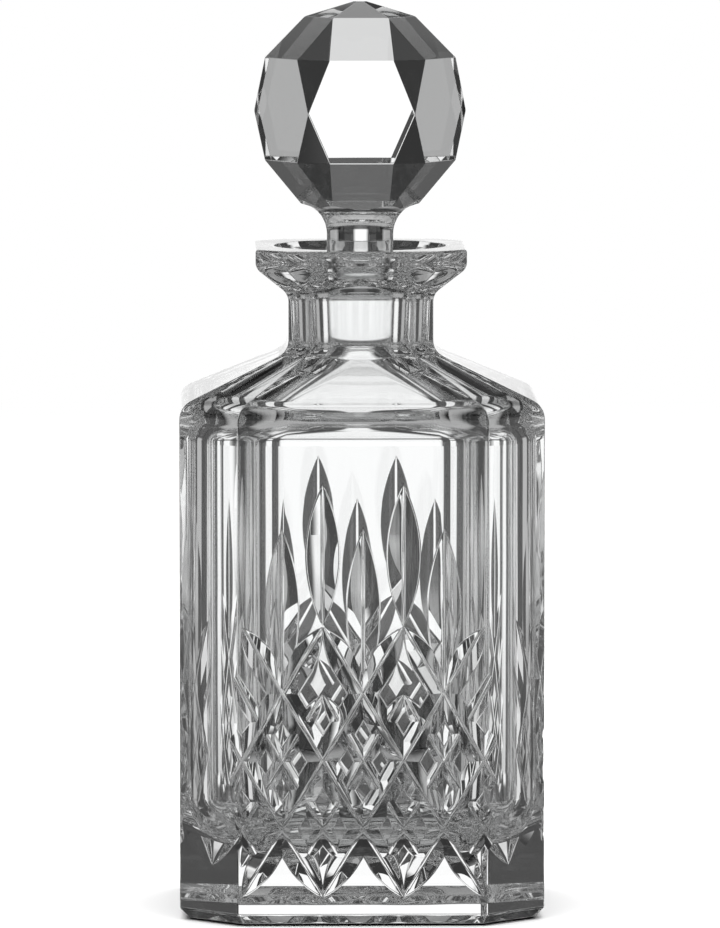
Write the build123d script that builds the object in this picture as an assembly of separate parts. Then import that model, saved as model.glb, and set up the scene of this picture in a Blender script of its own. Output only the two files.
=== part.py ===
from build123d import *
import os
from math import cos, hypot, radians, sin, sqrt

# Square cut crystal decanter with a faceted ball stopper. Millimetres, +Z up, +Y at the back,
# the foot standing on z = 0 and the axis of both pieces on the Z axis.

# --- bottle outside: every level is a square with its four corners cut at 45 degrees --------
BODY_HALF, BODY_CORNER_LEG = 46.0, 14.6      # half width across flats, corner cut along a face
NECK_HALF, NECK_CORNER_LEG = 18.35, 5.7
LIP_HALF, LIP_CORNER_LEG = 26.7, 7.8
FOOT_BEVEL = 2.5                             # 45 degree bevel round the foot
SHOULDER_Z, NECK_BASE_Z = 129.5, 142.0       # start and end of the sloping shoulder
NECK_TOP_Z, LIP_EDGE_Z, LIP_TOP_Z = 156.5, 163.5, 168.2
SHOULDER_ROUND = 5.5
NECK_BASE_EASE, NECK_TOP_EASE = 3.0, 2.0     # height over which the neck sweeps into its ends
EASE_STEPS = 8
LIP_EDGE_ROUND, LIP_TOP_ROUND = 2.5, 0.8

# --- bottle inside --------------------------------------------------------------------------
CAVITY_WIDTH, CAVITY_CORNER = 79.0, 20.0     # rounded square well
CAVITY_FLOOR_Z, CAVITY_FLOOR_ROUND = 18.5, 12.0
CAVITY_SHOULDER_Z, CAVITY_SHOULDER_ROUND = 125.3, 8.0
THROAT_WIDTH, THROAT_CORNER, THROAT_Z = 28.0, 13.8, 136.8
FLARE_END_Z, FLARE_START_Z, FLARE_RADIUS = 134.0, 142.0, 6.0
BORE_TOP_R, BORE_TOP_Z, BORE_TAPER = 13.25, 161.8, 0.05   # radius lost per mm of depth
MOUTH_R, MOUTH_SAG = 22.0, 0.9               # dished mouth above the ground bore

# --- cut pattern, the same on each of the four flat faces -----------------------------------
COLUMN_PITCH, ROW_PITCH = 10.15, 17.1        # lattice of crossings, across and up
TOP_ROW_Z = 75.4
MAIN_HALF_WIDTH, MAIN_DEPTH = 3.5, 2.25      # wide V grooves
FINE_HALF_WIDTH, FINE_DEPTH = 1.95, 1.25     # narrow V grooves that halve each diamond
MAIN_WHEEL_R, FINE_WHEEL_R = 32.0, 22.0      # cutting wheels, they shape the tapered ends
RUN_OUT_STEPS = 5
LEAF_HALF_WIDTH, LEAF_DEPTH = 4.2, 2.0
TALL_LEAF = (75.4, 111.0)                    # lower and upper tip of the two tall leaves
SHORT_LEAF = (58.5, 100.0)                   # and of the three others
CUT_CLEARANCE = 1.0                          # how far the tools stand proud of the face
OVERRUN = 8.0                                # how far a groove tool passes the edge of a face

# --- stopper ---------------------------------------------------------------------------------
FACETS = 6                                   # large six sided facets round the ball
FACET_TURN = 30.0                            # azimuth of the first equator point, degrees
EQUATOR_Z, EQUATOR_R = 202.5, 26.9           # points where the large facets touch
UPPER_Z, LOWER_Z = 216.1, 190.1              # their upper and lower edges
EDGE_SPREAD = 11.0                           # azimuth from an equator point to the ends of those edges
UPPER_TIP_Z, UPPER_TIP_R = 226.4, 14.0       # rounds of six points above and below
LOWER_TIP_Z, LOWER_TIP_R = 177.7, 14.1
BALL_TOP_Z, BALL_TOP_R = 230.2, 1.6          # small flat on the very top
BALL_SKIRT_Z = 172.5
STEM_R = 8.45
SWEEP_TOP_R, SWEEP_TOP_Z, SWEEP_END_Z = 14.8, 178.8, 171.0
STEM_END_Z, PLUG_TOP_Z, PLUG_BOTTOM_Z = 164.6, 161.4, 143.0
PLUG_GAP = 0.08                              # running gap to the bore, on the radius
PLUG_BOTTOM_ROUND, PLUG_TOP_ROUND = 4.0, 0.8
BLANK_R = 40.0


def polyhedron(faces):
    """Solid bounded by flat polygons, each given as a list of points."""
    skin = [Face(Wire.make_polygon([Vector(*point) for point in face], close=True)) for face in faces]
    solid = Solid(Shell(skin))
    return solid if solid.volume > 0 else Solid(Shell([-face for face in skin]))


def tube(loops):
    """Solid skinned with flat faces over closed loops that have matching parallel sides."""
    faces = [loops[0], loops[-1]]
    for lower, upper in zip(loops, loops[1:]):
        for i in range(len(lower)):
            j = (i + 1) % len(lower)
            faces.append([lower[i], lower[j], upper[j], upper[i]])
    return polyhedron(faces)


def cut_square(half, leg, z, inset=0.0):
    """Corner points of a square with 45 degree corners, at height z, its sides moved in by inset."""
    a = half - inset
    b = half - leg - inset * (sqrt(2.0) - 1.0)
    corners = [(a, -b), (a, b), (b, a), (-b, a), (-a, b), (-a, -b), (-b, -a), (b, -a)]
    return [(x, y, z) for x, y in corners]


def edges_at(solid, z):
    """Level edges of a solid that lie at height z."""
    level = [e for e in solid.edges() if abs(e.bounding_box().min.Z - z) < 1e-4]
    return [e for e in level if e.bounding_box().size.Z < 1e-4]


def bore_radius(z):
    return BORE_TOP_R - BORE_TAPER * (BORE_TOP_Z - z)


def between(level_a, level_b, t):
    return tuple(a + (b - a) * t for a, b in zip(level_a, level_b))


def eased(below, corner, above, ease):
    """Levels that carry the outline round a corner of its upright profile in a smooth sweep."""
    start = between(corner, below, ease / (corner[2] - below[2]))
    end = between(corner, above, ease / (above[2] - corner[2]))
    steps = [i / EASE_STEPS for i in range(EASE_STEPS + 1)]
    return [between(between(start, corner, t), between(corner, end, t), t) for t in steps]


def bottle_outside():
    foot = (BODY_HALF, BODY_CORNER_LEG, FOOT_BEVEL)
    shoulder = (BODY_HALF, BODY_CORNER_LEG, SHOULDER_Z)
    neck_base = (NECK_HALF, NECK_CORNER_LEG, NECK_BASE_Z)
    neck_top = (NECK_HALF, NECK_CORNER_LEG, NECK_TOP_Z)
    lip_edge = (LIP_HALF, LIP_CORNER_LEG, LIP_EDGE_Z)
    lip_top = (LIP_HALF, LIP_CORNER_LEG, LIP_TOP_Z)
    levels = [foot, shoulder]
    levels += eased(shoulder, neck_base, neck_top, NECK_BASE_EASE)
    levels += eased(neck_base, neck_top, lip_edge, NECK_TOP_EASE)
    levels += [lip_edge, lip_top]
    loops = [cut_square(BODY_HALF, BODY_CORNER_LEG, 0.0, FOOT_BEVEL)]
    loops += [cut_square(*level) for level in levels]
    solid = tube(loops)
    for z, radius in ((SHOULDER_Z, SHOULDER_ROUND), (LIP_EDGE_Z, LIP_EDGE_ROUND), (LIP_TOP_Z, LIP_TOP_ROUND)):
        solid = solid.fillet(radius, edges_at(solid, z))
    return solid


def bottle_inside():
    """The hollow: a rounded square well, its sloping roof, the flare and the tapered bore."""
    outline = RectangleRounded(CAVITY_WIDTH, CAVITY_WIDTH, CAVITY_CORNER)
    well = extrude(Pos(0, 0, CAVITY_FLOOR_Z) * outline, CAVITY_SHOULDER_Z - CAVITY_FLOOR_Z)
    throat = Pos(0, 0, THROAT_Z) * RectangleRounded(THROAT_WIDTH, THROAT_WIDTH, THROAT_CORNER)
    roof = loft([Pos(0, 0, CAVITY_SHOULDER_Z) * outline, throat], ruled=True)
    hollow = (well + roof).solid()
    hollow = hollow.fillet(CAVITY_FLOOR_ROUND, edges_at(hollow, CAVITY_FLOOR_Z))
    hollow = hollow.fillet(CAVITY_SHOULDER_ROUND, edges_at(hollow, CAVITY_SHOULDER_Z))
    flare_r = bore_radius(FLARE_START_Z)
    centre_r = flare_r + FLARE_RADIUS
    lean = radians(65.0)
    flare_mid = (centre_r - FLARE_RADIUS * cos(lean / 2), FLARE_START_Z - FLARE_RADIUS * sin(lean / 2))
    flare_end = (centre_r - FLARE_RADIUS * cos(lean), FLARE_START_Z - FLARE_RADIUS * sin(lean))
    chord = (MOUTH_R - BORE_TOP_R, LIP_TOP_Z - BORE_TOP_Z)
    length = hypot(*chord)
    mouth_mid = (BORE_TOP_R + chord[0] / 2 + MOUTH_SAG * chord[1] / length,
                 BORE_TOP_Z + chord[1] / 2 - MOUTH_SAG * chord[0] / length)
    top_z = LIP_TOP_Z + CUT_CLEARANCE
    profile = Line((0, FLARE_END_Z), (flare_end[0], FLARE_END_Z))
    profile += Line((flare_end[0], FLARE_END_Z), flare_end)
    profile += ThreePointArc(flare_end, flare_mid, (flare_r, FLARE_START_Z))
    profile += Line((flare_r, FLARE_START_Z), (BORE_TOP_R, BORE_TOP_Z))
    profile += ThreePointArc((BORE_TOP_R, BORE_TOP_Z), mouth_mid, (MOUTH_R, LIP_TOP_Z))
    profile += Polyline((MOUTH_R, LIP_TOP_Z), (MOUTH_R, top_z), (0, top_z), (0, FLARE_END_Z))
    passage = revolve(Plane.XZ * make_face(profile), Axis.Z)
    return hollow + passage


def groove(start, end, half_width, depth, wheel_r, taper_start, taper_end):
    """Tool for one straight V groove in the front face, tapered where the wheel lifts out."""
    length = hypot(end[0] - start[0], end[1] - start[1])
    along = ((end[0] - start[0]) / length, (end[1] - start[1]) / length)
    run_out = sqrt(2 * wheel_r * depth - depth * depth)
    ramp = []
    for i in range(RUN_OUT_STEPS + 1):
        lift = run_out * (1 - i / RUN_OUT_STEPS)
        ramp.append((run_out * i / RUN_OUT_STEPS, depth - wheel_r + sqrt(wheel_r ** 2 - lift ** 2)))
    head = ramp if taper_start else [(-OVERRUN, depth)]
    tail = [(length - s, d) for s, d in reversed(ramp)] if taper_end else [(length + OVERRUN, depth)]
    slope = half_width / depth
    loops = []
    for s, d in head + tail:
        u, z = start[0] + along[0] * s, start[1] + along[1] * s
        side = slope * (d + CUT_CLEARANCE)
        top_y = -BODY_HALF - CUT_CLEARANCE
        loops.append([
            (u, -BODY_HALF + d, z),
            (u - along[1] * side, top_y, z + along[0] * side),
            (u + along[1] * side, top_y, z - along[0] * side),
        ])
    return tube(loops)


def leaf(u, span):
    """Tool for one upright leaf: the rim of a wheel with a V edge, pressed into the face."""
    half_length = (span[1] - span[0]) / 2
    wheel_r = (half_length ** 2 + LEAF_DEPTH ** 2) / (2 * LEAF_DEPTH)
    slope = LEAF_HALF_WIDTH / LEAF_DEPTH
    reach = LEAF_DEPTH + CUT_CLEARANCE
    rim = make_face(Polyline(
        (0, wheel_r), (slope * reach, wheel_r - reach), (-slope * reach, wheel_r - reach), (0, wheel_r)))
    wheel = revolve(rim, Axis.X)
    return Pos(u, -BODY_HALF + LEAF_DEPTH - wheel_r, (span[0] + span[1]) / 2) * wheel


def slanting_pair(column, row, rows_down, profile, taper_start, taper_end):
    """A groove that starts at a lattice crossing and falls to the right, and its mirror image."""
    start = (column * COLUMN_PITCH, TOP_ROW_Z - row * ROW_PITCH)
    end = (start[0] + rows_down * COLUMN_PITCH, start[1] - rows_down * ROW_PITCH)
    right = groove(start, end, *profile, taper_start, taper_end)
    return [right, mirror(right, Plane.YZ)]


def face_pattern():
    """All the tools for the front face."""
    main = (MAIN_HALF_WIDTH, MAIN_DEPTH, MAIN_WHEEL_R)
    fine = (FINE_HALF_WIDTH, FINE_DEPTH, FINE_WHEEL_R)
    tools = []
    tools += slanting_pair(-3, 0, 4, main, True, True)
    tools += slanting_pair(-1, 0, 4, main, True, True)
    tools += slanting_pair(1, 0, 2, main, True, False)
    tools += slanting_pair(-3, 2, 2, main, False, True)
    tools += slanting_pair(-3, 1, 2.5, fine, False, True)
    tools += slanting_pair(-1, 1, 2.5, fine, True, True)
    tools += slanting_pair(1, 1, 2, fine, True, False)
    tools += slanting_pair(-3, 3, 0.5, fine, False, True)
    tools += [leaf(column * COLUMN_PITCH, TALL_LEAF) for column in (-1, 1)]
    tools += [leaf(column * COLUMN_PITCH, SHORT_LEAF) for column in (-2, 0, 2)]
    return tools


def decanter_body():
    glass = bottle_outside() - bottle_inside()
    pattern = face_pattern()
    tools = [Rot(0, 0, 90 * side) * tool for side in range(4) for tool in pattern]
    return (glass - tools).solid()


def ring(z, radius, offset=0.0):
    """One point for each equator point of the ball, at an azimuth offset from it."""
    angles = [radians(FACET_TURN + offset + 360.0 * i / FACETS) for i in range(FACETS)]
    return [(radius * sin(a), -radius * cos(a), z) for a in angles]


def faceted_ball():
    """Ball of large six sided facets with triangles between them and a low cone on top."""
    face_distance = EQUATOR_R * cos(radians(180.0 / FACETS))
    edge_r = face_distance / cos(radians(180.0 / FACETS - EDGE_SPREAD))
    equator = ring(EQUATOR_Z, EQUATOR_R)
    upper = [ring(UPPER_Z, edge_r, -EDGE_SPREAD), ring(UPPER_Z, edge_r, EDGE_SPREAD)]
    lower = [ring(LOWER_Z, edge_r, -EDGE_SPREAD), ring(LOWER_Z, edge_r, EDGE_SPREAD)]
    tip, root = ring(UPPER_TIP_Z, UPPER_TIP_R), ring(LOWER_TIP_Z, LOWER_TIP_R)
    crown, skirt = ring(BALL_TOP_Z, BALL_TOP_R), ring(BALL_SKIRT_Z, LOWER_TIP_R)
    faces = [crown, skirt]
    for i in range(FACETS):
        j = (i + 1) % FACETS
        faces.append([equator[i], upper[1][i], upper[0][j], equator[j], lower[0][j], lower[1][i]])
        for (before, after), point in ((upper, tip), (lower, root)):
            faces.append([before[i], after[i], equator[i]])
            faces.append([before[i], after[i], point[i]])
            faces.append([after[i], before[j], point[j], point[i]])
        faces.append([tip[i], tip[j], crown[j], crown[i]])
        faces.append([root[i], root[j], skirt[j], skirt[i]])
    return polyhedron(faces)


def stopper():
    """Turned blank (plug, stem and the sweep under the ball) with the facets cut into its head."""
    plug_top_r = bore_radius(PLUG_TOP_Z) - PLUG_GAP
    plug_bottom_r = bore_radius(PLUG_BOTTOM_Z) - PLUG_GAP
    sweep_mid = (STEM_R + (SWEEP_TOP_R - STEM_R) * 0.25, SWEEP_END_Z + (SWEEP_TOP_Z - SWEEP_END_Z) * 0.62)
    profile = Polyline(
        (0, PLUG_BOTTOM_Z), (plug_bottom_r, PLUG_BOTTOM_Z), (plug_top_r, PLUG_TOP_Z),
        (STEM_R, STEM_END_Z), (STEM_R, SWEEP_END_Z))
    profile += ThreePointArc((STEM_R, SWEEP_END_Z), sweep_mid, (SWEEP_TOP_R, SWEEP_TOP_Z))
    top_z = BALL_TOP_Z + CUT_CLEARANCE
    profile += Polyline(
        (SWEEP_TOP_R, SWEEP_TOP_Z), (BLANK_R, SWEEP_TOP_Z), (BLANK_R, top_z), (0, top_z), (0, PLUG_BOTTOM_Z))
    blank = revolve(Plane.XZ * make_face(profile), Axis.Z).solid()
    blank = blank.fillet(PLUG_BOTTOM_ROUND, edges_at(blank, PLUG_BOTTOM_Z))
    blank = blank.fillet(PLUG_TOP_ROUND, edges_at(blank, PLUG_TOP_Z))
    keep_below = Pos(0, 0, PLUG_BOTTOM_Z - CUT_CLEARANCE) * Cylinder(
        BLANK_R / 2, BALL_SKIRT_Z - PLUG_BOTTOM_Z + 2 * CUT_CLEARANCE,
        align=(Align.CENTER, Align.CENTER, Align.MIN))
    return (blank & (faceted_ball() + keep_below)).solid()


PIECES = {"decanter_body": decanter_body(), "stopper": stopper()}

os.makedirs("parts", exist_ok=True)
for name, piece in PIECES.items():
    piece.label = name
    export_step(piece, os.path.join("parts", name + ".step"))
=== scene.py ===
import math

import bmesh
import bpy
from mathutils import Matrix, Vector


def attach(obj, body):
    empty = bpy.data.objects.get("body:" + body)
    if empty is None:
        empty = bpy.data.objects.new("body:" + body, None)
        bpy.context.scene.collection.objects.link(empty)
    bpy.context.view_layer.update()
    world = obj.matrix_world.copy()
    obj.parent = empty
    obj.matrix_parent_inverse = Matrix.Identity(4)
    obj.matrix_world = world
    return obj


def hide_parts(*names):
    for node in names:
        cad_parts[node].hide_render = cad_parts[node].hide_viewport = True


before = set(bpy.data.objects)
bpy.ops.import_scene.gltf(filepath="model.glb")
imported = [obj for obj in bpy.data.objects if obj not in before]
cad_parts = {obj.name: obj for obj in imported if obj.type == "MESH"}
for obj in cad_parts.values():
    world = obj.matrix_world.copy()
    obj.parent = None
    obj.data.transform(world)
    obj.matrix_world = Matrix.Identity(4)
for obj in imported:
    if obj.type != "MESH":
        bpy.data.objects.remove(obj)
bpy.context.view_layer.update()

scene = bpy.context.scene

# ---------------------------------------------------------------- camera
CAMERA_DISTANCE = 2.5
CAMERA_HEIGHT = 0.327
CAMERA_AZIMUTH = math.radians(1.0)
AIM_HEIGHT = 0.1123
LENS = 382.0

camera = bpy.data.objects.new("camera", bpy.data.cameras.new("camera"))
scene.collection.objects.link(camera)
scene.camera = camera
camera.data.lens = LENS
camera.data.sensor_width = 36.0
camera.data.clip_end = 60.0
camera.location = (
    -CAMERA_DISTANCE * math.sin(CAMERA_AZIMUTH),
    -CAMERA_DISTANCE * math.cos(CAMERA_AZIMUTH),
    CAMERA_HEIGHT,
)
aim = Vector((0.0, 0.0, AIM_HEIGHT))
camera.rotation_mode = "QUATERNION"
camera.rotation_quaternion = (aim - camera.location).to_track_quat("-Z", "Y")

# ---------------------------------------------------------------- light paths
cycles = scene.cycles
cycles.max_bounces = 32
cycles.transmission_bounces = 32
cycles.glossy_bounces = 16
cycles.diffuse_bounces = 3
cycles.transparent_max_bounces = 16
cycles.caustics_reflective = False
cycles.caustics_refractive = False
cycles.use_denoising = True
scene.view_settings.view_transform = "Standard"


# ---------------------------------------------------------------- materials
def math_node(tree, operation, a, b=None):
    """Math node whose inputs are sockets or plain numbers; returns its output socket."""
    node = tree.nodes.new("ShaderNodeMath")
    node.operation = operation
    for slot, value in enumerate((a, b)):
        if value is None:
            continue
        if isinstance(value, (int, float)):
            node.inputs[slot].default_value = value
        else:
            tree.links.new(value, node.inputs[slot])
    return node.outputs[0]


def ramp_node(tree, value, low, high, at_low, at_high):
    """Smooth step from at_low to at_high while value goes from low to high."""
    node = tree.nodes.new("ShaderNodeMapRange")
    node.interpolation_type = "SMOOTHSTEP"
    tree.links.new(value, node.inputs["Value"])
    node.inputs["From Min"].default_value = low
    node.inputs["From Max"].default_value = high
    node.inputs["To Min"].default_value = at_low
    node.inputs["To Max"].default_value = at_high
    return node.outputs[0]


CRYSTAL_IOR = 1.545
STREAK_SCALE, WAVE_SCALE = 35.0, 70.0
STREAK_DARK, STREAK_CLEAR = (0.975, 0.982, 0.982, 1.0), (0.992, 0.995, 0.995, 1.0)
WAVE_HEIGHT = 0.00004
GROUND_ROUGHNESS = 0.10
# The ground zone fades out between these distances from the axis and these heights, in metres.
GROUND_EDGE, GROUND_FOOT, GROUND_TOP_FADE = (0.0134, 0.0137), (0.1432, 0.1440), 0.0006
BODY_GROUND_TOP, STOPPER_GROUND_TOP = 0.1612, 0.1608


def noise_node(tree, place, scale, detail):
    """Noise over the object's own coordinates; returns its value socket."""
    node = tree.nodes.new("ShaderNodeTexNoise")
    node.inputs["Scale"].default_value = scale
    node.inputs["Detail"].default_value = detail
    tree.links.new(place, node.inputs["Vector"])
    return node.outputs["Fac"]


def ground_zone(tree, place, ground_top):
    """1 near the axis where the plug sits in the bore, 0 elsewhere."""
    split = tree.nodes.new("ShaderNodeSeparateXYZ")
    tree.links.new(place, split.inputs[0])
    lengths = [math_node(tree, "ABSOLUTE", split.outputs[axis]) for axis in "XY"]
    squares = [math_node(tree, "POWER", length, 2.0) for length in lengths]
    radius = math_node(tree, "SQRT", math_node(tree, "ADD", *squares))
    inside = ramp_node(tree, radius, *GROUND_EDGE, 1.0, 0.0)
    above = ramp_node(tree, split.outputs["Z"], *GROUND_FOOT, 0.0, 1.0)
    below = ramp_node(tree, split.outputs["Z"], ground_top, ground_top + GROUND_TOP_FADE, 1.0, 0.0)
    return math_node(tree, "MULTIPLY", inside, math_node(tree, "MULTIPLY", above, below))


def glass(name, ground_top):
    """Lead crystal: faint streaks, slightly wavy polish, finely ground below ground_top on the axis."""
    material = bpy.data.materials.new(name)
    material.use_nodes = True
    tree = material.node_tree
    shader = tree.nodes["Principled BSDF"]
    shader.inputs["Transmission Weight"].default_value = 1.0
    shader.inputs["IOR"].default_value = CRYSTAL_IOR
    place = tree.nodes.new("ShaderNodeTexCoord").outputs["Object"]

    tint = tree.nodes.new("ShaderNodeMix")
    tint.data_type = "RGBA"
    tint.inputs["A"].default_value = STREAK_DARK
    tint.inputs["B"].default_value = STREAK_CLEAR
    tree.links.new(noise_node(tree, place, STREAK_SCALE, 2.0), tint.inputs["Factor"])
    tree.links.new(tint.outputs["Result"], shader.inputs["Base Color"])

    bump = tree.nodes.new("ShaderNodeBump")
    bump.inputs["Distance"].default_value = WAVE_HEIGHT
    tree.links.new(noise_node(tree, place, WAVE_SCALE, 0.0), bump.inputs["Height"])
    tree.links.new(bump.outputs["Normal"], shader.inputs["Normal"])

    roughness = math_node(tree, "MULTIPLY", ground_zone(tree, place, ground_top), GROUND_ROUGHNESS)
    tree.links.new(roughness, shader.inputs["Roughness"])
    return material


# ---------------------------------------------------------------- shape tools, millimetres
MM = 0.001


def skin(loops):
    """Closed mesh over a stack of point loops that all have the same number of points."""
    count = len(loops[0])
    points = [(x * MM, y * MM, z * MM) for loop in loops for x, y, z in loop]
    faces = [tuple(range(count))[::-1], tuple(range(len(points) - count, len(points)))]
    for k in range(len(loops) - 1):
        for i in range(count):
            j = (i + 1) % count
            faces.append((k * count + i, k * count + j, (k + 1) * count + j, (k + 1) * count + i))
    mesh = bpy.data.meshes.new("skin")
    mesh.from_pydata(points, [], faces)
    bm = bmesh.new()
    bm.from_mesh(mesh)
    bmesh.ops.recalc_face_normals(bm, faces=bm.faces)
    bm.to_mesh(mesh)
    bm.free()
    return mesh


def boolean(base, tool, operation):
    """Mesh of base combined with tool."""
    first = bpy.data.objects.new("base", base)
    second = bpy.data.objects.new("tool", tool)
    for item in (first, second):
        scene.collection.objects.link(item)
    modifier = first.modifiers.new("boolean", "BOOLEAN")
    modifier.operation = operation
    modifier.solver = "MANIFOLD"
    modifier.object = second
    depsgraph = bpy.context.evaluated_depsgraph_get()
    mesh = bpy.data.meshes.new_from_object(first.evaluated_get(depsgraph))
    for item in (first, second):
        bpy.data.objects.remove(item)
    return mesh


def lerp(a, b, t):
    """Point that lies the share t of the way from a to b."""
    return tuple(p + (q - p) * t for p, q in zip(a, b))


def eased(before, corner, after, reach, steps):
    """Points that round a corner of a profile, starting and ending reach away from it.

    A profile point begins with its distance from the axis and ends with its height."""
    def towards(other):
        return lerp(corner, other, reach / math.hypot(other[0] - corner[0], other[-1] - corner[-1]))

    start, end = towards(before), towards(after)
    ts = [i / steps for i in range(steps + 1)]
    return [lerp(lerp(start, corner, t), lerp(corner, end, t), t) for t in ts]


def eased_profile(points, reaches, steps=8):
    """Profile with its inner corners rounded; a reach of 0 keeps a corner sharp."""
    profile = [points[0]]
    for before, corner, after, reach in zip(points, points[1:], points[2:], reaches):
        profile += eased(before, corner, after, reach, steps) if reach else [corner]
    return profile + [points[-1]]


# ---------------------------------------------------------------- bottle
BODY_HALF, BODY_LEG = 46.0, 14.6
NECK_HALF, NECK_LEG = 18.35, 5.7
LIP_HALF, LIP_LEG = 26.7, 7.8
FOOT_BEVEL = 2.5
SHOULDER_Z, NECK_BASE_Z, NECK_TOP_Z, LIP_EDGE_Z, LIP_TOP_Z = 129.5, 142.0, 156.5, 163.5, 168.2
BORE_TOP_R, BORE_TOP_Z, BORE_TAPER = 13.25, 161.8, 0.05
FLARE_Z, FLARE_R = 142.0, 6.0
BODY_ARRIS, NECK_ARRIS, LIP_ARRIS, RIM_ARRIS = 0.9, 0.7, 0.7, 0.5
UNDERSIDE_INSET, RIM_INSET = 8.0, 3.0        # the outline starts and ends this far in from the edge
OUTLINE_REACHES = [0.35, 0.45, 3.6, 3.0, 2.0, 1.6, 0.8]
WELL_HALF, WELL_CORNER, WELL_FLOOR_Z, WELL_ROUND = 39.5, 20.0, 18.5, 12.0
ROOF_Z, ROOF_REACH = 125.3, 5.2
FLARE_LEAN = math.radians(65)
CURVE_STEPS = 12
MOUTH_R, BELLY_OUT, BELLY_DOWN = 22.0, 1.1, 1.5      # the bore opens to the lip in a curve
MOUTH_RIM = ((21.9, -0.12), (22.1, -0.03), (22.6, 0.05), (22.7, 2.0))    # radius, height over the lip
ROUND_GAP = 0.01                             # half a tiny flat, so that no two points coincide


def cut_square_loop(half, corner, arris, z, steps=4):
    """Square with 45 degree corners; half and corner are distances of the sides from the axis."""
    sides = [half, corner] * 4
    loop = []
    for k in range(8):
        here, there = math.radians(45 * k), math.radians(45 * (k + 1))
        a, b = sides[k], sides[(k + 1) % 8]
        along = (b - a * math.cos(math.radians(45))) / math.sin(math.radians(45))
        tip = (a * math.cos(here) - along * math.sin(here), a * math.sin(here) + along * math.cos(here))
        reach = arris * math.tan(math.radians(22.5))
        start = (tip[0] + reach * math.sin(here), tip[1] - reach * math.cos(here))
        end = (tip[0] - reach * math.sin(there), tip[1] + reach * math.cos(there))
        for i in range(steps + 1):
            t = i / steps
            x, y = lerp(lerp(start, tip, t), lerp(tip, end, t), t)
            loop.append((x, y, z))
    return loop


def corner_distance(half, leg):
    """Distance from the axis of the 45 degree side that cuts leg off each corner of a square."""
    return (2 * half - leg) / math.sqrt(2)


def bottle_outside():
    """Solid of the whole bottle without its hollow and its cuts."""
    body = (BODY_HALF, corner_distance(BODY_HALF, BODY_LEG), BODY_ARRIS)
    neck = (NECK_HALF, corner_distance(NECK_HALF, NECK_LEG), NECK_ARRIS)
    lip = (LIP_HALF, corner_distance(LIP_HALF, LIP_LEG), LIP_ARRIS)
    foot = (body[0] - FOOT_BEVEL, body[1] - FOOT_BEVEL, BODY_ARRIS)
    inner_foot = (foot[0] - UNDERSIDE_INSET, foot[1] - UNDERSIDE_INSET, BODY_ARRIS)
    inner_lip = (lip[0] - RIM_INSET, lip[1] - RIM_INSET, RIM_ARRIS)
    points = [
        (*inner_foot, 0.0), (*foot, 0.0), (*body, FOOT_BEVEL), (*body, SHOULDER_Z),
        (*neck, NECK_BASE_Z), (*neck, NECK_TOP_Z), (*lip, LIP_EDGE_Z), (*lip, LIP_TOP_Z),
        (*inner_lip, LIP_TOP_Z),
    ]
    return skin([cut_square_loop(*level) for level in eased_profile(points, OUTLINE_REACHES)])


def round_square_loop(half, radius, z, steps=16):
    """Square with round corners; a circle when the radius equals the half width."""
    centre = half - radius
    loop = []
    for k in range(4):
        for i in range(steps + 1):
            angle = math.radians(90 * (k + i / steps))
            sx = centre * (1 if k in (0, 3) else -1)
            sy = centre * (1 if k in (0, 1) else -1)
            loop.append((sx + radius * math.cos(angle), sy + radius * math.sin(angle), z))
    return loop


def round_level(r, z):
    """Level of the hollow that is a circle; half width, corner radius and height."""
    return (r, r - ROUND_GAP, z)


def well_levels():
    """Rounded floor of the well, from the bottom up to its straight walls."""
    levels = []
    for i in range(CURVE_STEPS + 1):
        angle = math.radians(90 * i / CURVE_STEPS)
        inset = WELL_ROUND * (1 - math.sin(angle))
        rise = WELL_ROUND * (1 - math.cos(angle))
        levels.append((WELL_HALF - inset, WELL_CORNER - inset, WELL_FLOOR_Z + rise))
    return levels


def throat_levels():
    """Throat where the roof of the well turns up into the bore."""
    bore_r = BORE_TOP_R - BORE_TAPER * (BORE_TOP_Z - FLARE_Z)
    levels = []
    for i in range(CURVE_STEPS + 1):
        lean = FLARE_LEAN * (1 - i / CURVE_STEPS)
        r, z = bore_r + FLARE_R * (1 - math.cos(lean)), FLARE_Z - FLARE_R * math.sin(lean)
        levels.append(round_level(r, z))
    return levels


def mouth_levels():
    """Top of the bore and the curve from there out to the rim of the lip."""
    low, high = (BORE_TOP_R, BORE_TOP_Z), (MOUTH_R, LIP_TOP_Z)
    belly = ((low[0] + high[0]) / 2 + BELLY_OUT, (low[1] + high[1]) / 2 - BELLY_DOWN)
    levels = [round_level(*low)]
    for i in range(1, CURVE_STEPS):
        t = i / CURVE_STEPS
        levels.append(round_level(*lerp(lerp(low, belly, t), lerp(belly, high, t), t)))
    return levels + [round_level(r, LIP_TOP_Z + over) for r, over in MOUTH_RIM]


def bottle_inside():
    """Solid of the hollow, running out above the lip."""
    well, throat = well_levels(), throat_levels()
    roof = eased(well[-1], (WELL_HALF, WELL_CORNER, ROOF_Z), throat[0], ROOF_REACH, CURVE_STEPS)
    return skin([round_square_loop(*level) for level in well + roof + throat + mouth_levels()])


# ---------------------------------------------------------------- cut pattern of one face
COLUMN, ROW, TOP_ROW = 10.15, 17.1, 75.4
MAIN = (3.5, 2.25, 32.0)                     # half width, depth, wheel radius
FINE = (1.95, 1.25, 22.0)
LEAF_HALF, LEAF_DEPTH = 4.2, 2.0
PROUD = 1.0
OVERRUN = 8.0
ARRIS, VALLEY = 0.34, 0.55                   # softening of the rim and of the bottom of a cut
THINNEST = 0.05                              # a cut's section stops shrinking at this depth
SOFT_SHARE = 0.45                            # most of the half width that one softening takes
RIM_STEPS, VALLEY_STEPS = (0.3, 0.6, 1.0), (0.0, 0.25, 0.5, 0.75, 1.0)
RIM_RISE, RIM_SPREAD = 0.06, 0.05            # the rim curve runs on above the face, then leans out
END_RUN, END_LIFT = 0.6, 0.08                # a tapered end runs on past its length, above the face
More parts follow.
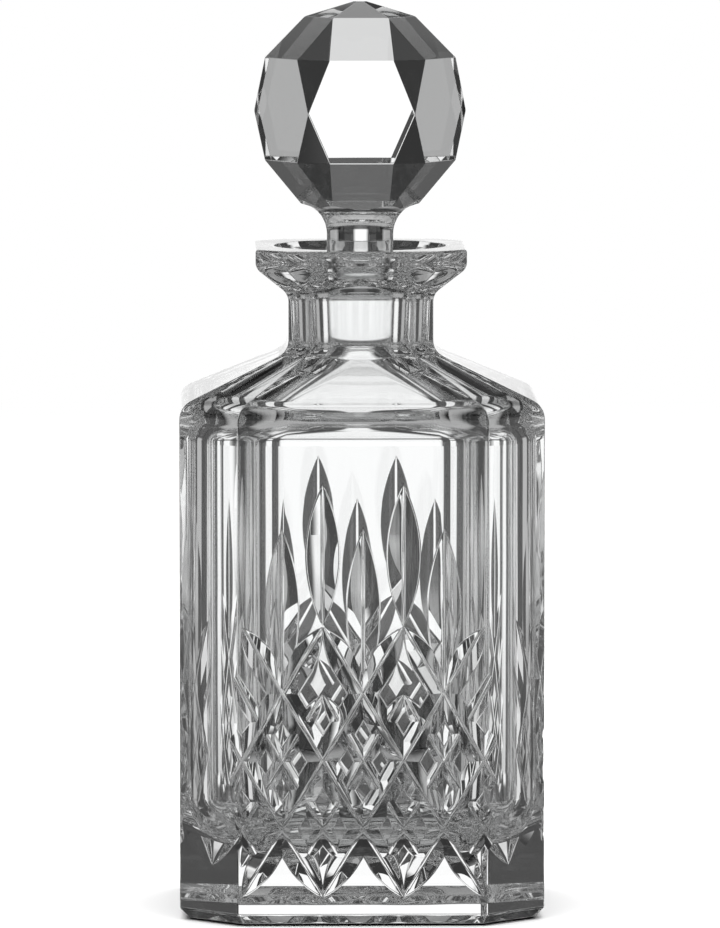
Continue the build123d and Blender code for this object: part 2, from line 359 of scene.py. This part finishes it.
# Column and row of the start, rows down, profile, and whether the start and the end are tapered.
GROOVES = (
    (-3, 0, 4, MAIN, True, True),
    (-1, 0, 4, MAIN, True, True),
    (1, 0, 2, MAIN, True, False),
    (-3, 2, 2, MAIN, False, True),
    (-3, 1, 2.5, FINE, False, True),
    (-1, 1, 2.5, FINE, True, True),
    (1, 1, 2, FINE, True, False),
    (-3, 3, 0.5, FINE, False, True),
)
LEAVES = (((-1, 1), (75.4, 111.0)), ((-2, 0, 2), (58.5, 100.0)))     # columns, heights of the ends


def cut_section(half_width, depth, full_depth):
    """Cross section of a cut from rim to rim: (across, depth) with soft rims and a soft valley."""
    slope = full_depth / half_width
    lean = math.atan(slope)
    deep = max(depth, THINNEST)
    half = deep / slope
    rim, valley = min(ARRIS, SOFT_SHARE * half), min(VALLEY, SOFT_SHARE * half)
    outer, corner = (half + rim, 0.0), (half, 0.0)
    inner = (half - rim * math.cos(lean), rim * math.sin(lean))
    side = [lerp(lerp(outer, corner, t), lerp(corner, inner, t), t) for t in RIM_STEPS]
    side.insert(0, lerp(side[0], side[1], -RIM_RISE / (side[1][1] - side[0][1])))
    right = [(side[0][0] + RIM_SPREAD, -PROUD)] + side
    wall_end, bottom = (valley, deep - valley * slope), (0.0, deep)
    other_end = (-wall_end[0], wall_end[1])
    bed = [lerp(lerp(wall_end, bottom, t), lerp(bottom, other_end, t), t) for t in VALLEY_STEPS]
    section = right + bed + [(-x, d) for x, d in reversed(right)]
    lift = min(depth - THINNEST, 0.0)
    return [(x, d + lift if d > -PROUD else d) for x, d in section]


def cut_tool(start, direction, stations, half_width, full_depth):
    """Solid swept along the face through (distance, depth) stations."""
    loops = []
    for distance, depth in stations:
        u, z = start[0] + direction[0] * distance, start[1] + direction[1] * distance
        loops.append([
            (u + direction[1] * across, -BODY_HALF + d, z - direction[0] * across)
            for across, d in cut_section(half_width, depth, full_depth)
        ])
    return skin(loops)


def groove(start, end, profile, taper_start, taper_end, steps=9):
    """Straight cut from start to end; a tapered end rises as the round wheel leaves it."""
    half_width, depth, wheel = profile
    length = math.dist(start, end)
    direction = ((end[0] - start[0]) / length, (end[1] - start[1]) / length)
    run_out = math.sqrt(2 * wheel * depth - depth * depth)
    ramp = [(-END_RUN, -END_LIFT)]
    for i in range(steps + 1):
        lift = run_out * (1 - i / steps)
        ramp.append((run_out * i / steps, depth - wheel + math.sqrt(wheel ** 2 - lift ** 2)))
    head = ramp if taper_start else [(-OVERRUN, depth)]
    tail = [(length - s, d) for s, d in reversed(ramp)] if taper_end else [(length + OVERRUN, depth)]
    return cut_tool(start, direction, head + tail, half_width, depth)


def leaf(u, span, steps=30):
    """Upright leaf shaped cut, deepest in the middle of its span of heights."""
    half_length = (span[1] - span[0]) / 2
    wheel = (half_length ** 2 + LEAF_DEPTH ** 2) / (2 * LEAF_DEPTH)
    stations = [(-END_RUN, -END_LIFT)]
    for i in range(steps + 1):
        off = half_length * (2 * i / steps - 1)
        stations.append((off + half_length, LEAF_DEPTH - wheel + math.sqrt(wheel ** 2 - off ** 2)))
    stations.append((2 * half_length + END_RUN, -END_LIFT))
    return cut_tool((u, span[0]), (0.0, 1.0), stations, LEAF_HALF, LEAF_DEPTH)


def slanting_pair(column, row, rows_down, profile, taper_start, taper_end):
    """A groove and its mirror image."""
    tools = []
    for mirror in (1, -1):
        start = (mirror * column * COLUMN, TOP_ROW - row * ROW)
        end = (start[0] + mirror * rows_down * COLUMN, start[1] - rows_down * ROW)
        tools.append(groove(start, end, profile, taper_start, taper_end))
    return tools


def face_tool():
    """All the cuts of the front face as one solid."""
    tools = []
    for line in GROOVES:
        tools += slanting_pair(*line)
    for columns, span in LEAVES:
        tools += [leaf(column * COLUMN, span) for column in columns]
    joined = tools[0]
    for tool in tools[1:]:
        joined = boolean(joined, tool, "UNION")
    return joined


def bottle_mesh():
    """Hollow bottle with the same pattern on its four faces."""
    mesh = boolean(bottle_outside(), bottle_inside(), "DIFFERENCE")
    tool = face_tool()
    for side in range(4):
        mesh = boolean(mesh, tool, "DIFFERENCE")
        tool.transform(Matrix.Rotation(math.pi / 2, 4, "Z"))
    return mesh


# ---------------------------------------------------------------- stopper
FACETS, FACET_TURN = 6, 30.0
EQUATOR_R, EDGE_SPREAD = 26.9, 11.0
EDGE_R = EQUATOR_R * math.cos(math.pi / FACETS) / math.cos(math.pi / FACETS - math.radians(EDGE_SPREAD))
SKIRT_Z, ROOT_Z, ROOT_R = 172.5, 177.7, 14.1
LOWER_Z, EQUATOR_Z, UPPER_Z = 190.1, 202.5, 216.1
TIP_Z, TIP_R, CROWN_Z, CROWN_R = 226.4, 14.0, 230.2, 1.6
FACET_ARRIS = 0.16
PLUG_GAP = 0.08
PLUG_LOW_Z, PLUG_TOP_Z, STEM_LOW_Z, STEM_TOP_Z, STEM_R = 143.0, 161.4, 164.6, 171.0, 8.45
PLUG_REACHES = [4.6, 0.8, 0.5]
SWEEP_END, SWEEP_OUT, SWEEP_UP = (14.8, 178.8), 0.25, 0.62       # its belly lies these shares along
AXIS_R = 0.5                                 # a lathed solid ends in a flat of this radius
BLANK_R, BLANK_TOP_Z = 40.0, 232.0           # clear of the ball, which is cut out of the blank
SLEEVE_R, SLEEVE_LOW_Z, SLEEVE_TOP_Z = 20.0, 140.0, 173.5        # room for the stem and the plug


def faceted_ball():
    """Ball of large six sided facets over a straight skirt, every arris between facets softened."""
    bm = bmesh.new()

    def ring(z, radius, offset=0.0):
        angles = [math.radians(FACET_TURN + offset + 360 * i / FACETS) for i in range(FACETS)]
        return [bm.verts.new(Vector((radius * math.sin(a), -radius * math.cos(a), z)) * MM) for a in angles]

    equator = ring(EQUATOR_Z, EQUATOR_R)
    upper = [ring(UPPER_Z, EDGE_R, -EDGE_SPREAD), ring(UPPER_Z, EDGE_R, EDGE_SPREAD)]
    lower = [ring(LOWER_Z, EDGE_R, -EDGE_SPREAD), ring(LOWER_Z, EDGE_R, EDGE_SPREAD)]
    tip, root = ring(TIP_Z, TIP_R), ring(ROOT_Z, ROOT_R)
    crown, skirt = ring(CROWN_Z, CROWN_R), ring(SKIRT_Z, ROOT_R)
    faces = [crown, skirt]
    for i in range(FACETS):
        j = (i + 1) % FACETS
        faces.append([equator[i], upper[1][i], upper[0][j], equator[j], lower[0][j], lower[1][i]])
        for (before, after), point in ((upper, tip), (lower, root)):
            faces.append([before[i], after[i], equator[i]])
            faces.append([before[i], after[i], point[i]])
            faces.append([after[i], before[j], point[j], point[i]])
        faces.append([tip[i], tip[j], crown[j], crown[i]])
        faces.append([root[i], root[j], skirt[j], skirt[i]])
    for face in faces:
        bm.faces.new(face)
    bmesh.ops.recalc_face_normals(bm, faces=bm.faces)
    bmesh.ops.bevel(bm, geom=bm.edges, offset=FACET_ARRIS * MM, segments=3, profile=0.5, affect="EDGES")
    bmesh.ops.recalc_face_normals(bm, faces=bm.faces)
    mesh = bpy.data.meshes.new("ball")
    bm.to_mesh(mesh)
    bm.free()
    return mesh


def arc(start, middle, end, steps):
    """Points of the circular arc through three points, without its start."""
    (ax, ay), (bx, by), (cx, cy) = start, middle, end
    d = 2 * (ax * (by - cy) + bx * (cy - ay) + cx * (ay - by))
    squares = [x * x + y * y for x, y in (start, middle, end)]
    ox = (squares[0] * (by - cy) + squares[1] * (cy - ay) + squares[2] * (ay - by)) / d
    oy = (squares[0] * (cx - bx) + squares[1] * (ax - cx) + squares[2] * (bx - ax)) / d
    radius = math.dist((ox, oy), start)
    first, last = math.atan2(ay - oy, ax - ox), math.atan2(cy - oy, cx - ox)
    sweep = (last - first + math.pi) % (2 * math.pi) - math.pi
    angles = [first + sweep * (i + 1) / steps for i in range(steps)]
    return [(ox + radius * math.cos(a), oy + radius * math.sin(a)) for a in angles]


def lathe(profile, steps=96):
    """Solid of revolution about the axis from (radius, height) points."""
    loops = []
    for r, z in profile:
        angles = [2 * math.pi * i / steps for i in range(steps)]
        loops.append([(r * math.cos(a), r * math.sin(a), z) for a in angles])
    return skin(loops)


def plug_radius(z):
    """Radius of the plug at a height: that of the bore, less the gap."""
    return BORE_TOP_R - BORE_TAPER * (BORE_TOP_Z - z) - PLUG_GAP


def stopper_mesh():
    """Ball, stem and plug: a lathed blank cut to the facets above and left round below."""
    stem_top = (STEM_R, STEM_TOP_Z)
    points = [
        (AXIS_R, PLUG_LOW_Z), (plug_radius(PLUG_LOW_Z), PLUG_LOW_Z),
        (plug_radius(PLUG_TOP_Z), PLUG_TOP_Z), (STEM_R, STEM_LOW_Z), stem_top,
    ]
    belly = (
        STEM_R + SWEEP_OUT * (SWEEP_END[0] - STEM_R),
        STEM_TOP_Z + SWEEP_UP * (SWEEP_END[1] - STEM_TOP_Z),
    )
    profile = eased_profile(points, PLUG_REACHES) + arc(stem_top, belly, SWEEP_END, 16)
    profile += [(BLANK_R, SWEEP_END[1]), (BLANK_R, BLANK_TOP_Z), (AXIS_R, BLANK_TOP_Z)]
    blank = lathe(profile)
    sleeve = lathe([
        (AXIS_R, SLEEVE_LOW_Z), (SLEEVE_R, SLEEVE_LOW_Z),
        (SLEEVE_R, SLEEVE_TOP_Z), (AXIS_R, SLEEVE_TOP_Z),
    ])
    return boolean(blank, boolean(faceted_ball(), sleeve, "UNION"), "INTERSECT")


# ---------------------------------------------------------------- the two pieces
MERGE_DISTANCE = 0.002
STRAIGHT = math.radians(0.5)                 # a point on an edge that turns less than this is spare
SHARP = math.radians(21.0)


def finished(name, mesh, material, body, node):
    """Places a finished mesh as the piece that stands in for a CAD node."""
    bm = bmesh.new()
    bm.from_mesh(mesh)
    bmesh.ops.remove_doubles(bm, verts=bm.verts, dist=MERGE_DISTANCE * MM)
    spare = [v for v in bm.verts if len(v.link_edges) == 2 and v.calc_edge_angle(math.pi) < STRAIGHT]
    bmesh.ops.dissolve_verts(bm, verts=spare)
    bm.to_mesh(mesh)
    bm.free()
    mesh.name = name
    mesh.materials.clear()
    mesh.materials.append(material)
    mesh.shade_smooth()
    mesh.set_sharp_from_angle(angle=SHARP)
    piece = bpy.data.objects.new(name, mesh)
    scene.collection.objects.link(piece)
    weighted = piece.modifiers.new("weighted", "WEIGHTED_NORMAL")
    weighted.mode = "FACE_AREA"
    weighted.weight = 100
    weighted.keep_sharp = True
    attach(piece, body)
    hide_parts(node)


body_crystal = glass("body_crystal", BODY_GROUND_TOP)
stopper_crystal = glass("stopper_crystal", STOPPER_GROUND_TOP)
finished("bottle_glass", bottle_mesh(), body_crystal, "bottle", "decanter_body")
finished("stopper_glass", stopper_mesh(), stopper_crystal, "stopper", "stopper")

# ---------------------------------------------------------------- floor and light
LANE_HALF_ANGLE = math.radians(8.0)
LANE_FADE = math.radians(4.0)
DIAGONAL_START = math.radians(32.0)
DIAGONAL_BEHIND, DIAGONAL_FRONT = 0.45, 0.95      # lanes and panels towards the corners
LANE_SIDE, LANE_START = 0.026, 0.10
# Light painted on the floor for the glass: full in the lanes far off, weaker close to the object as a
# painted shadow of bottle and stopper, faint off the lanes as painted shade.
LANE_BRIGHT, LANE_PAINTED_SHADOW, LANE_DARK = 1.0, 0.70, 0.04
FLOOR_Z = -0.0004                            # a hair of air under the glass, as under the real foot
FLOOR_RADIUS = 25.0
MIRROR_GREY, PALE_GREY = (0.95, 0.95, 0.95, 1.0), (0.92, 0.92, 0.92, 1.0)
# Distances from the middle of the floor, in metres, over which one look gives way to the next.
FRONT_TO_BEHIND, MIRROR_TO_LANES = (-0.1, 0.1), (0.15, 0.24)
LANES_RISE, PALE_TO_WHITE = (0.30, 0.75), (0.7, 1.6)


def mix_shaders(tree, factor, first, second):
    """Mix of two shaders, first at factor 0 and second at factor 1; returns its output socket."""
    node = tree.nodes.new("ShaderNodeMixShader")
    for slot, socket in enumerate((factor, first, second)):
        tree.links.new(socket, node.inputs[slot])
    return node.outputs[0]


def plain_shader(tree, kind, colour=None):
    """Shader node of one kind and, if given, one colour; returns its output socket."""
    node = tree.nodes.new(kind)
    if colour:
        node.inputs["Color"].default_value = colour
    return node.outputs[0]


def painted_lane_glow(tree, depth, small, large):
    """Strength of the light painted on the floor as glowing lanes, though the floor is no lamp; they run
    out square on and towards the corners.

    depth runs from front to back; small and large are the lesser and greater distance from the axes."""
    across = math_node(tree, "SUBTRACT", small, LANE_SIDE)
    angle = math_node(tree, "ARCTAN2", across, math_node(tree, "SUBTRACT", large, LANE_START))
    square_on = ramp_node(tree, angle, LANE_HALF_ANGLE, LANE_HALF_ANGLE + LANE_FADE, 1.0, 0.0)
    cornerwise = ramp_node(tree, angle, DIAGONAL_START, DIAGONAL_START + LANE_FADE, 0.0, 1.0)
    level = ramp_node(tree, depth, *FRONT_TO_BEHIND, DIAGONAL_FRONT, DIAGONAL_BEHIND)
    lane = math_node(tree, "MAXIMUM", square_on, math_node(tree, "MULTIPLY", cornerwise, level))
    # painted shadow: the lanes glow weaker close to the object
    strength = ramp_node(tree, large, *LANES_RISE, LANE_PAINTED_SHADOW, LANE_BRIGHT)
    return math_node(tree, "MAXIMUM", math_node(tree, "MULTIPLY", lane, strength), LANE_DARK)


def floor_shader():
    """Pale floor to the camera. The glass gathers a mirror close by and, further off, painted light: lanes
    of emission on the floor, which is no lamp, dimmed near the object as a painted shadow and faint between
    the lanes as painted shade.
    """
    material = bpy.data.materials.new("floor")
    material.use_nodes = True
    tree = material.node_tree
    tree.nodes.clear()
    split = tree.nodes.new("ShaderNodeSeparateXYZ")
    tree.links.new(tree.nodes.new("ShaderNodeNewGeometry").outputs["Position"], split.inputs[0])
    x, y = [math_node(tree, "ABSOLUTE", split.outputs[axis]) for axis in "XY"]
    small, large = math_node(tree, "MINIMUM", x, y), math_node(tree, "MAXIMUM", x, y)

    # painted light: emission on the floor in lanes, seen only through the glass
    painted_lanes = tree.nodes.new("ShaderNodeEmission")
    tree.links.new(painted_lane_glow(tree, split.outputs["Y"], small, large), painted_lanes.inputs["Strength"])
    mirror = tree.nodes.new("ShaderNodeBsdfGlossy")
    mirror.inputs["Color"].default_value = MIRROR_GREY
    mirror.inputs["Roughness"].default_value = 0.0
    to_lanes = ramp_node(tree, large, *MIRROR_TO_LANES, 0.0, 1.0)
    gathered = mix_shaders(tree, to_lanes, mirror.outputs[0], painted_lanes.outputs[0])

    pale = plain_shader(tree, "ShaderNodeBsdfDiffuse", PALE_GREY)
    white = plain_shader(tree, "ShaderNodeEmission")
    seen = mix_shaders(tree, ramp_node(tree, large, *PALE_TO_WHITE, 0.0, 1.0), pale, white)

    path = tree.nodes.new("ShaderNodeLightPath")
    out = tree.nodes.new("ShaderNodeOutputMaterial")
    either = mix_shaders(tree, path.outputs["Is Camera Ray"], gathered, seen)
    tree.links.new(either, out.inputs["Surface"])
    return material


floor_mesh = bpy.data.meshes.new("floor")
bm = bmesh.new()
bmesh.ops.create_circle(bm, cap_ends=True, segments=96, radius=FLOOR_RADIUS)
bm.to_mesh(floor_mesh)
bm.free()
floor_mesh.materials.append(floor_shader())
floor = bpy.data.objects.new("floor", floor_mesh)
floor.location.z = FLOOR_Z
scene.collection.objects.link(floor)

WORLD_STRENGTH = 0.035

world = bpy.data.worlds.new("studio")
scene.world = world
world.use_nodes = True
background = world.node_tree.nodes["Background"]
background.inputs["Color"].default_value = (1.0, 1.0, 1.0, 1.0)
background.inputs["Strength"].default_value = WORLD_STRENGTH

PANEL_DISTANCE, PANEL_HEIGHT = 1.6, 1.3
PANEL_CORE = 0.5                             # evenly bright over this share of the half width
PANEL_BRIGHT_TO, PANEL_DIM_FROM, PANEL_DIM = 0.46, 0.66, 0.12
SIDE_PANEL_HALF, DIAGONAL_PANEL_HALF = 0.30, 0.45
SIDE_PANELS = {0: 1.1, 90: 0.8, 180: 0.7, 270: 0.8}    # azimuth: strength
DIAGONAL_PANELS = {45: DIAGONAL_BEHIND, 135: DIAGONAL_FRONT, 225: DIAGONAL_FRONT, 315: DIAGONAL_BEHIND}
CANOPY_HALF, CANOPY_HEIGHT, CANOPY_STRENGTH, CANOPY_CORE = 2.8, 2.8, 0.4, 0.5
LAMP_HEIGHT, LAMP_SIZE, LAMP_POWER = 2.6, 5.0, 260.0


def one_sided_glow(name, shape):
    """Emission on the front of a surface, as strong as shape(tree, place) says; clear from behind."""
    material = bpy.data.materials.new(name)
    material.use_nodes = True
    tree = material.node_tree
    tree.nodes.clear()
    split = tree.nodes.new("ShaderNodeSeparateXYZ")
    tree.links.new(tree.nodes.new("ShaderNodeTexCoord").outputs["Object"], split.inputs[0])
    glow = tree.nodes.new("ShaderNodeEmission")
    tree.links.new(shape(tree, split.outputs), glow.inputs["Strength"])
    clear = plain_shader(tree, "ShaderNodeBsdfTransparent")
    behind = tree.nodes.new("ShaderNodeNewGeometry").outputs["Backfacing"]
    out = tree.nodes.new("ShaderNodeOutputMaterial")
    tree.links.new(mix_shaders(tree, behind, glow.outputs[0], clear), out.inputs["Surface"])
    return material


def glowing_piece(name, corners, shape):
    """Flat glowing studio piece that neither shows to the camera nor lights the floor."""
    mesh = bpy.data.meshes.new(name)
    mesh.from_pydata(corners, [], [(0, 1, 2, 3)])
    mesh.materials.append(one_sided_glow(name, shape))
    piece = bpy.data.objects.new(name, mesh)
    piece.visible_diffuse = False
    piece.visible_camera = False
    scene.collection.objects.link(piece)
    return piece


def panel_glow(half_width, strength):
    """Glow of an upright panel, fading towards its sides and its top."""
    def shape(tree, place):
        off_centre = math_node(tree, "ABSOLUTE", place["X"])
        across = ramp_node(tree, off_centre, PANEL_CORE * half_width, half_width, strength, 0.0)
        upward = ramp_node(tree, place["Z"], PANEL_BRIGHT_TO, PANEL_DIM_FROM, 1.0, PANEL_DIM)
        return math_node(tree, "MULTIPLY", across, upward)
    return shape


def canopy_glow(tree, place):
    """Glow of the canopy, fading towards its four edges."""
    x, y = [math_node(tree, "ABSOLUTE", place[axis]) for axis in "XY"]
    across = math_node(tree, "MAXIMUM", x, y)
    return ramp_node(tree, across, CANOPY_CORE * CANOPY_HALF, CANOPY_HALF, CANOPY_STRENGTH, 0.0)


def panel(azimuth, half_width, strength):
    """Upright glowing panel that faces the object; azimuth 0 is behind it as photographed."""
    corners = [(-half_width, 0.0, 0.0), (half_width, 0.0, 0.0),
               (half_width, 0.0, PANEL_HEIGHT), (-half_width, 0.0, PANEL_HEIGHT)]
    piece = glowing_piece("panel_%d" % azimuth, corners, panel_glow(half_width, strength))
    turn = math.radians(azimuth)
    piece.location = (-PANEL_DISTANCE * math.sin(turn), PANEL_DISTANCE * math.cos(turn), 0.0)
    piece.rotation_euler.z = turn


for half_width, panels in ((SIDE_PANEL_HALF, SIDE_PANELS), (DIAGONAL_PANEL_HALF, DIAGONAL_PANELS)):
    for azimuth, strength in panels.items():
        panel(azimuth, half_width, strength)

canopy = glowing_piece("canopy", [
    (-CANOPY_HALF, -CANOPY_HALF, 0.0), (-CANOPY_HALF, CANOPY_HALF, 0.0),
    (CANOPY_HALF, CANOPY_HALF, 0.0), (CANOPY_HALF, -CANOPY_HALF, 0.0)], canopy_glow)
canopy.location.z = CANOPY_HEIGHT

light = bpy.data.lights.new("floor_light", "AREA")
light.shape = "RECTANGLE"
light.size = light.size_y = LAMP_SIZE
light.energy = LAMP_POWER
floor_light = bpy.data.objects.new("floor_light", light)
floor_light.location.z = LAMP_HEIGHT         # an unturned lamp shines straight down
floor_light.visible_glossy = False
floor_light.visible_transmission = False
scene.collection.objects.link(floor_light)
